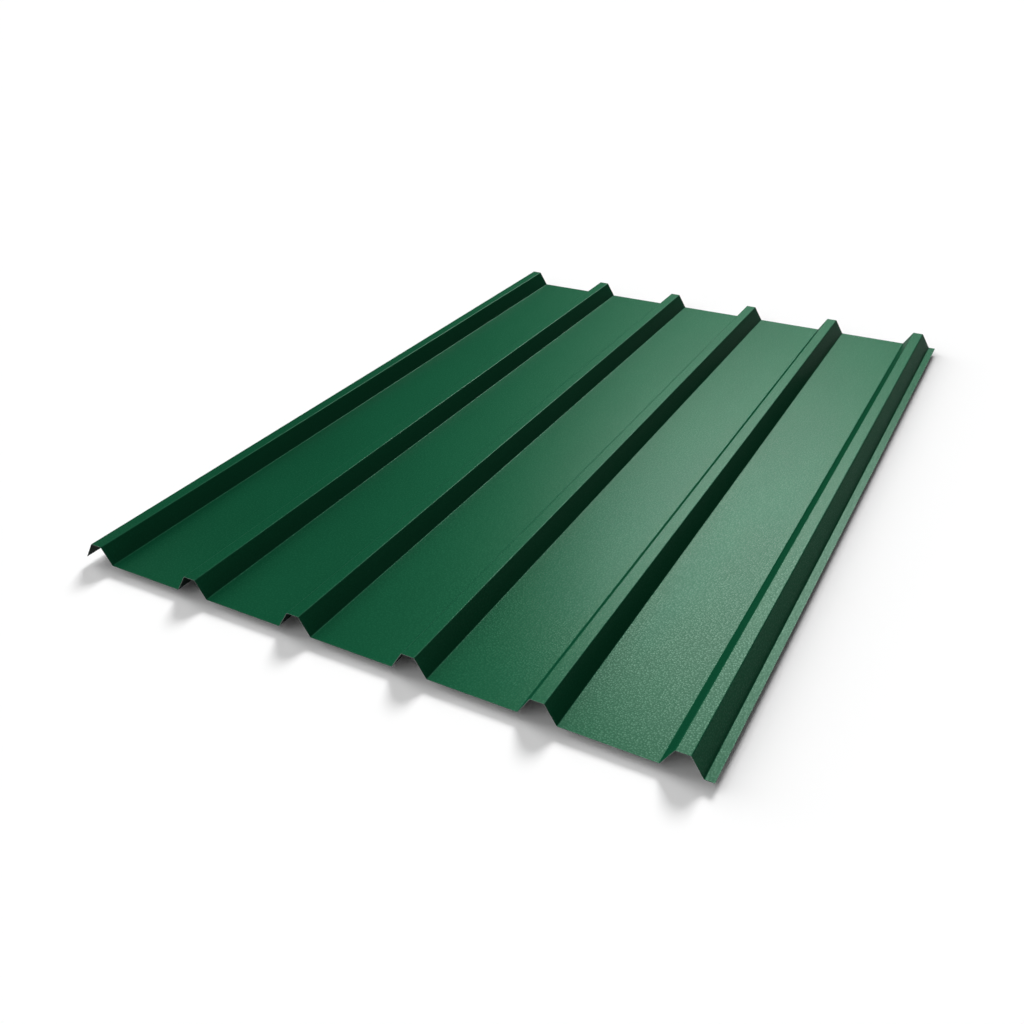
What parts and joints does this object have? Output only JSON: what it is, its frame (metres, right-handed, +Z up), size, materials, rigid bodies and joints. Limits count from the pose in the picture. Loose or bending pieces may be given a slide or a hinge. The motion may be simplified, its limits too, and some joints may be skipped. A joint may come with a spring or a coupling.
{
  "type": "trapezoidal metal roofing sheet",
  "caption": "Long roll-formed steel sheet with narrow trapezoidal ribs between wide flat pans, coated dark green with a leather grain, for roofs and walls.",
  "frame": {"origin": "on the underside of the middle pan, at the middle of the sheet's length and of its cover width", "axes": "+X across the ribs towards the flange, +Y along the ribs, +Z up through the crowns"},
  "size_m": [1.0716, 1.55, 0.0305],
  "materials": {
    "green_coat": "satin"
  },
  "bodies": {
    "root": {"profiled_sheet": "green_coat"}
  },
  "joints": []
}
